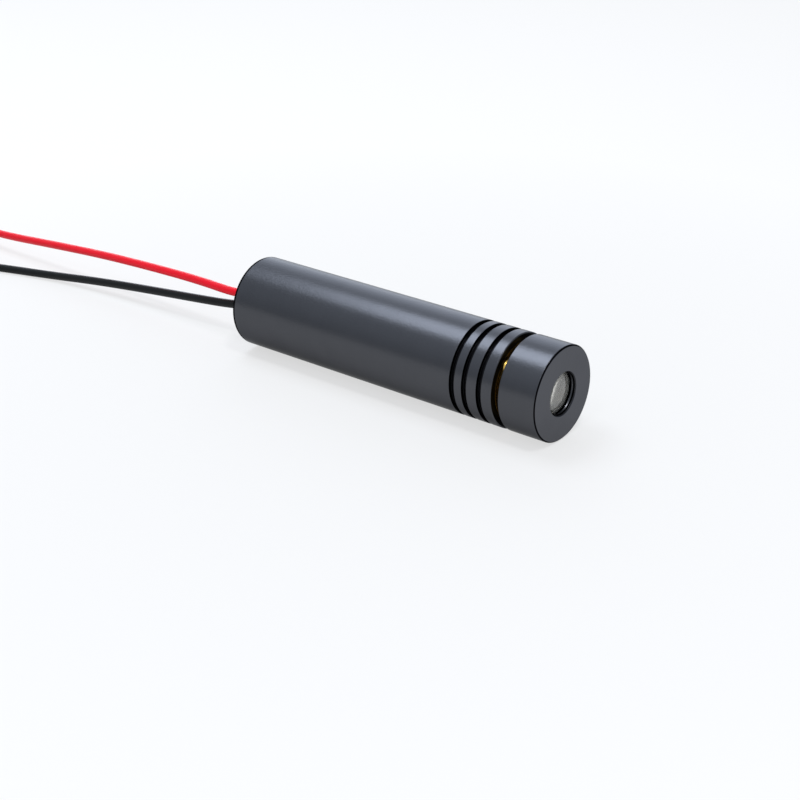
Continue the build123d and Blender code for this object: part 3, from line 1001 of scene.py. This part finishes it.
@dataclass
class Lead:
    """One supply lead: its route behind the barrel, its put-away coil and its bared tip."""

    name: str
    slot: Slot
    route: Tuple[Point, ...]
    winding: Winding
    with_tie: bool = False
    length: float = 150.0
    diameter: float = LEAD_D
    core_d: float = 0.6
    coil_x: float = COIL_X
    coil_y: float = -5.4
    outer_r: float = 7.8
    inner_r: float = 6.0
    turns: float = 1.5
    points_per_turn: int = 18
    tip_length: float = 4.0
    tip_turn: float = 35.0
    tip_rows: int = 60
    tip_columns: int = 42
    strands: int = 7
    strand_depth: float = 0.14
    twist: float = 1.6

    def build(self, palette: Palette) -> None:
        """Args:
            palette: Finishes of the module.
        """
        cord = self._cord(palette)
        others = [self._tip(palette)]
        if self.with_tie:
            tie = bpy.data.objects["coil_tie"]
            palette.coat(tie, Slot.NYLON)
            others.append(tie)

    def _cord(self, palette: Palette) -> bpy.types.Object:
        """Make the smooth spline: route points, then a flat spiral that closes in evenly.

        Args:
            palette: Finishes of the module.

        Returns:
            The curve object.
        """
        count = int(round(self.turns * self.points_per_turn))
        share = np.arange(1, count + 1) / count
        way = self.winding.value
        angle = way * (math.pi / 2 + TAU * self.turns * share)
        radius = self.outer_r + (self.inner_r - self.outer_r) * share
        spiral = np.column_stack(
            [
                self.coil_x + radius * np.cos(angle),
                self.coil_y + radius * np.sin(angle),
                np.full(count, self.route[-1][2]),
            ]
        )
        points = np.vstack([np.array(self.route), spiral]) * MM
        curve = bpy.data.curves.new(self.name + "_lead", "CURVE")
        curve.dimensions = "3D"
        curve.bevel_depth = self.diameter / 2 * MM
        curve.bevel_resolution = 5
        curve.resolution_u = 10
        curve.use_fill_caps = True
        spline = curve.splines.new("NURBS")
        spline.points.add(len(points) - 1)
        spline.points.foreach_set("co", np.column_stack([points, np.ones(len(points))]).ravel())
        spline.order_u = 3
        spline.use_endpoint_u = True
        piece = bpy.data.objects.new(self.name + "_lead", curve)
        bpy.context.scene.collection.objects.link(piece)
        return palette.add(piece, self.slot, Body.HOUSING, [self.name + "_wire", self.name + "_wire_coil"])

    def _tip(self, palette: Palette) -> bpy.types.Object:
        """Carry a lobed, twisted profile along the bared end, one lobe for each strand.

        The radius at angle a and distance s is R (1 - depth + depth |cos(strands a / 2 + twist s)|).

        Args:
            palette: Finishes of the module.

        Returns:
            The tip's object.
        """
        way = self.winding.value
        turn = math.radians(way * self.tip_turn)
        s = np.linspace(0.0, self.tip_length, self.tip_rows)
        start = np.array([self.coil_x, self.coil_y - way * self.inner_r, self.route[-1][2]])
        path = start + s[:, None] * np.array([math.cos(turn), math.sin(turn), 0.0])
        angle = np.arange(self.tip_columns) * TAU / self.tip_columns
        lobes = np.abs(np.cos(self.strands / 2 * angle[None] + self.twist * s[:, None]))
        grid = carried(path, self.core_d / 2 * (1.0 - self.strand_depth * (1.0 - lobes)))
        piece = surface(self.name + "_bared_tip", grid, start_cap=True, end_cap=True)
        return palette.add(piece, Slot.TINNED, Body.HOUSING, [self.name + "_wire_tip"])


@dataclass
class Innards:
    """Diode package and driver inside the barrel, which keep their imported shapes."""

    finishes: Mapping[Slot, Tuple[str, ...]] = field(
        default_factory=lambda: {
            Slot.GOLD: ("diode_stem", "laser_post", "diode_leads"),
            Slot.NICKEL: ("diode_can",),
            Slot.LENS: ("diode_window",),
            Slot.DIE: ("laser_chip",),
            Slot.BRASS: ("diode_clamp_ring",),
            Slot.BOARD: ("driver_board",),
            Slot.CHIP: ("driver_chip", "output_transistor", "chip_resistors", "reverse_diode"),
            Slot.TINNED: ("driver_chip_legs", "transistor_legs", "wire_tails"),
            Slot.CERAMIC: ("filter_capacitor",),
            Slot.SOLDER: ("capacitor_ends", "solder_joints"),
            Slot.SLEEVE: ("insulating_sleeve",),
        }
    )

    def dress(self, palette: Palette) -> None:
        """Coat every inner node."""
        for slot, nodes in self.finishes.items():
            for node in nodes:
                palette.coat(bpy.data.objects[node], slot)


@dataclass
class Softbox:
    """A rectangular studio light that looks at a point."""

    name: str
    place: Point
    target: Point
    width: float
    height: float
    radiance: float
    colour: Colour = (1.0, 1.0, 1.0)

    def build(self) -> None:
        """Add the lamp; its power is pi times area times radiance."""
        lamp = bpy.data.lights.new(self.name, "AREA")
        lamp.shape = "RECTANGLE"
        lamp.size = self.width
        lamp.size_y = self.height
        lamp.energy = math.pi * self.width * self.height * self.radiance
        lamp.color = self.colour
        holder = bpy.data.objects.new(self.name, lamp)
        back = np.array(self.place) - np.array(self.target)
        back /= np.linalg.norm(back)
        steady = np.array([0.0, 1.0, 0.0]) if abs(back[2]) > 0.9 else np.array([0.0, 0.0, 1.0])
        side = np.cross(steady, back)
        side /= np.linalg.norm(side)
        turn = np.column_stack([side, np.cross(back, side), back])
        holder.matrix_world = Matrix.Translation(self.place) @ Matrix(turn.tolist()).to_4x4()
        holder.visible_camera = False
        bpy.context.scene.collection.objects.link(holder)


@dataclass
class Studio:
    """Camera at the photograph's view, pale floor, soft lights and surroundings."""

    azimuth: float = 38.887
    elevation: float = 25.013
    eye: Point = (116.886, -137.959, 74.768)
    focal_px: float = 1525.326
    picture_px: float = 800.0
    sensor: float = 36.0
    clip_near: float = 0.005
    clip_far: float = 100.0
    floor_z: float = -BODY_R
    floor_half: float = 40.0
    floor_colour: Colour = (0.22, 0.22, 0.22)
    glow: float = 0.64
    glow_rise: float = 5e-6
    far_glow: float = 0.22
    far_share: float = 0.48
    far_fade: float = 4e-8
    sky: float = 0.62
    sky_depth: float = 0.22
    sky_slope: float = 0.9
    sky_back: float = 4.2
    sky_back_way: Point = (-0.585, 0.79, 0.19)
    sky_tint: Colour = (0.92, 0.985, 1.09)
    box_tint: Colour = (0.92, 0.99, 1.10)

    def camera(self) -> None:
        """Place the camera; its axes come from azimuth and elevation with no roll."""
        a, e = math.radians(self.azimuth), math.radians(self.elevation)
        right = (math.cos(a), math.sin(a), 0.0)
        up = (-math.sin(a) * math.sin(e), math.cos(a) * math.sin(e), math.cos(e))
        back = (math.sin(a) * math.cos(e), -math.cos(a) * math.cos(e), math.sin(e))
        lens = bpy.data.cameras.new("photo_view")
        lens.sensor_width = self.sensor
        lens.lens = self.focal_px * self.sensor / self.picture_px
        lens.clip_start = self.clip_near
        lens.clip_end = self.clip_far
        camera = bpy.data.objects.new("photo_view", lens)
        turn = Matrix(np.column_stack([right, up, back]).tolist()).to_4x4()
        camera.matrix_world = Matrix.Translation([value * MM for value in self.eye]) @ turn
        bpy.context.scene.collection.objects.link(camera)
        bpy.context.scene.camera = camera

    def build(self) -> None:
        """Lay the floor, hang the lights and set the surroundings."""
        bpy.context.scene.view_settings.view_transform = "Standard"
        self._floor()
        self._surroundings()
        over, under = (-0.172, 0.0065, 0.35), (-0.172, 0.0065, 0.0)
        boxes = (
            Softbox("overhead_box", over, under, 0.185, 0.209, 5.4, self.box_tint),
            Softbox("edge_light", (0.073, -0.238, 0.323), (0.025, -0.004, 0.003), 0.06, 0.06, 6.5),
            Softbox("opening_light", (0.143, -0.075, 0.35), (0.03, 0.0, 0.0), 0.06, 0.06, 39.0),
        )
        for box in boxes:
            box.build()

    def _floor(self) -> None:
        """Lay a flat pale sheet whose glow evens out the light near by and fades towards the horizon.

        The glow is glow + glow_rise q, but at most far_glow + far_share / (1 + far_fade q), where q
        is x^2 + y^2 in square millimetres.
        """
        half, z = self.floor_half, self.floor_z * MM
        corners = [(-half, -half, z), (half, -half, z), (half, half, z), (-half, half, z)]
        mesh = bpy.data.meshes.new("floor")
        mesh.from_pydata(corners, [], [(0, 1, 2, 3)])
        floor = bpy.data.objects.new("floor", mesh)
        bpy.context.scene.collection.objects.link(floor)
        graph = Graph.of_material("pale_floor")
        where = graph.place()
        along, across = graph.split(where, "X"), graph.split(where, "Y")
        reach = along * along + across * across
        rising = reach * self.glow_rise + self.glow
        fading = self.far_share / (reach * self.far_fade + 1.0) + self.far_glow
        matt = graph.node("ShaderNodeBsdfDiffuse", None, {"Color": self.floor_colour})
        glow = graph.node("ShaderNodeEmission", None, {"Color": rising.at_most(fading), "Strength": 1.0})
        both = graph.node("ShaderNodeAddShader", None, {0: matt, 1: glow})
        graph.node_out("ShaderNodeOutputMaterial", both)
        mesh.materials.append(graph.owner)

    def _surroundings(self) -> None:
        """Surround the scene with a cool grey: low down dimmer in front than behind, above the reverse.

        The level is sky + sky_depth y - sky_slope y z + sky_back d^8, where d is the share of a
        direction that points back past the module's rear just over the floor, at least 0.
        """
        graph = Graph(bpy.data.worlds.new("studio"))
        bpy.context.scene.world = graph.owner
        way = graph.node("ShaderNodeTexCoord", out="Generated")
        depth, height = graph.split(way, "Y"), graph.split(way, "Z")
        dot = {"operation": "DOT_PRODUCT"}
        share = graph.node("ShaderNodeVectorMath", dot, {0: way, 1: self.sky_back_way}, out="Value")
        share = share.at_least(0.0)
        square = share * share
        fourth = square * square
        across = depth * self.sky_depth - depth * height * self.sky_slope
        level = across + fourth * fourth * self.sky_back + self.sky
        scale = {"operation": "SCALE"}
        tint = graph.node("ShaderNodeVectorMath", scale, {0: self.sky_tint, "Scale": level})
        ground = graph.node("ShaderNodeBackground", None, {"Color": tint, "Strength": 1.0})
        graph.node_out("ShaderNodeOutputWorld", ground)


def leads() -> Tuple[Lead, Lead]:
    """Return the red and the black lead, with their routes in millimetres."""
    red = (
        (WIRE_END, 0.0, RED_Z),
        (REAR - 1.2, 0.0, 0.46),
        (REAR - 4.8, -0.5, 0.04),
        (REAR - 11.8, -0.5, 0.25),
        (REAR - 22.3, -0.2, -0.2),
        (REAR - 33.6, 0.4, -1.05),
        (REAR - 45.5, 0.8, -2.2),
        (REAR - 58.2, 1.1, -3.45),
        (REAR - 68.0, 1.8, -3.8),
        (COIL_X, 2.4, -3.8),
    )
    black = (
        (WIRE_END, 0.0, BLACK_Z),
        (REAR - 1.2, 0.0, BLACK_Z),
        (REAR - 5.5, -0.5, -1.79),
        (REAR - 11.7, -0.8, -2.4),
        (REAR - 21.7, -1.0, -3.4),
        (REAR - 31.8, -1.6, -4.35),
        (REAR - 41.6, -2.8, -5.3),
        (REAR - 50.3, -5.3, -5.4),
        (REAR - 58.5, -8.3, -5.4),
        (REAR - 65.5, -11.1, -5.3),
        (REAR - 71.5, -12.8, -5.15),
        (COIL_X, -13.2, -5.0),
    )
    return (
        Lead("red", Slot.RED, red, Winding.COUNTER_CLOCKWISE, with_tie=True),
        Lead("black", Slot.BLACK_PVC, black, Winding.CLOCKWISE),
    )


def main() -> None:
    """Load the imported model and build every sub-assembly in order."""
    logging.basicConfig(level=logging.INFO, format="%(name)s: %(message)s")
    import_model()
    studio = Studio()
    studio.camera()
    palette = Palette()
    for lead in leads():
        lead.build(palette)
    for part in (Barrel(), BrassInsert(), FocusHead(), RearPlug()):
        part.build(palette)
    Innards().dress(palette)
    studio.build()
    bpy.context.view_layer.update()


if __name__ == "__main__":
    main()
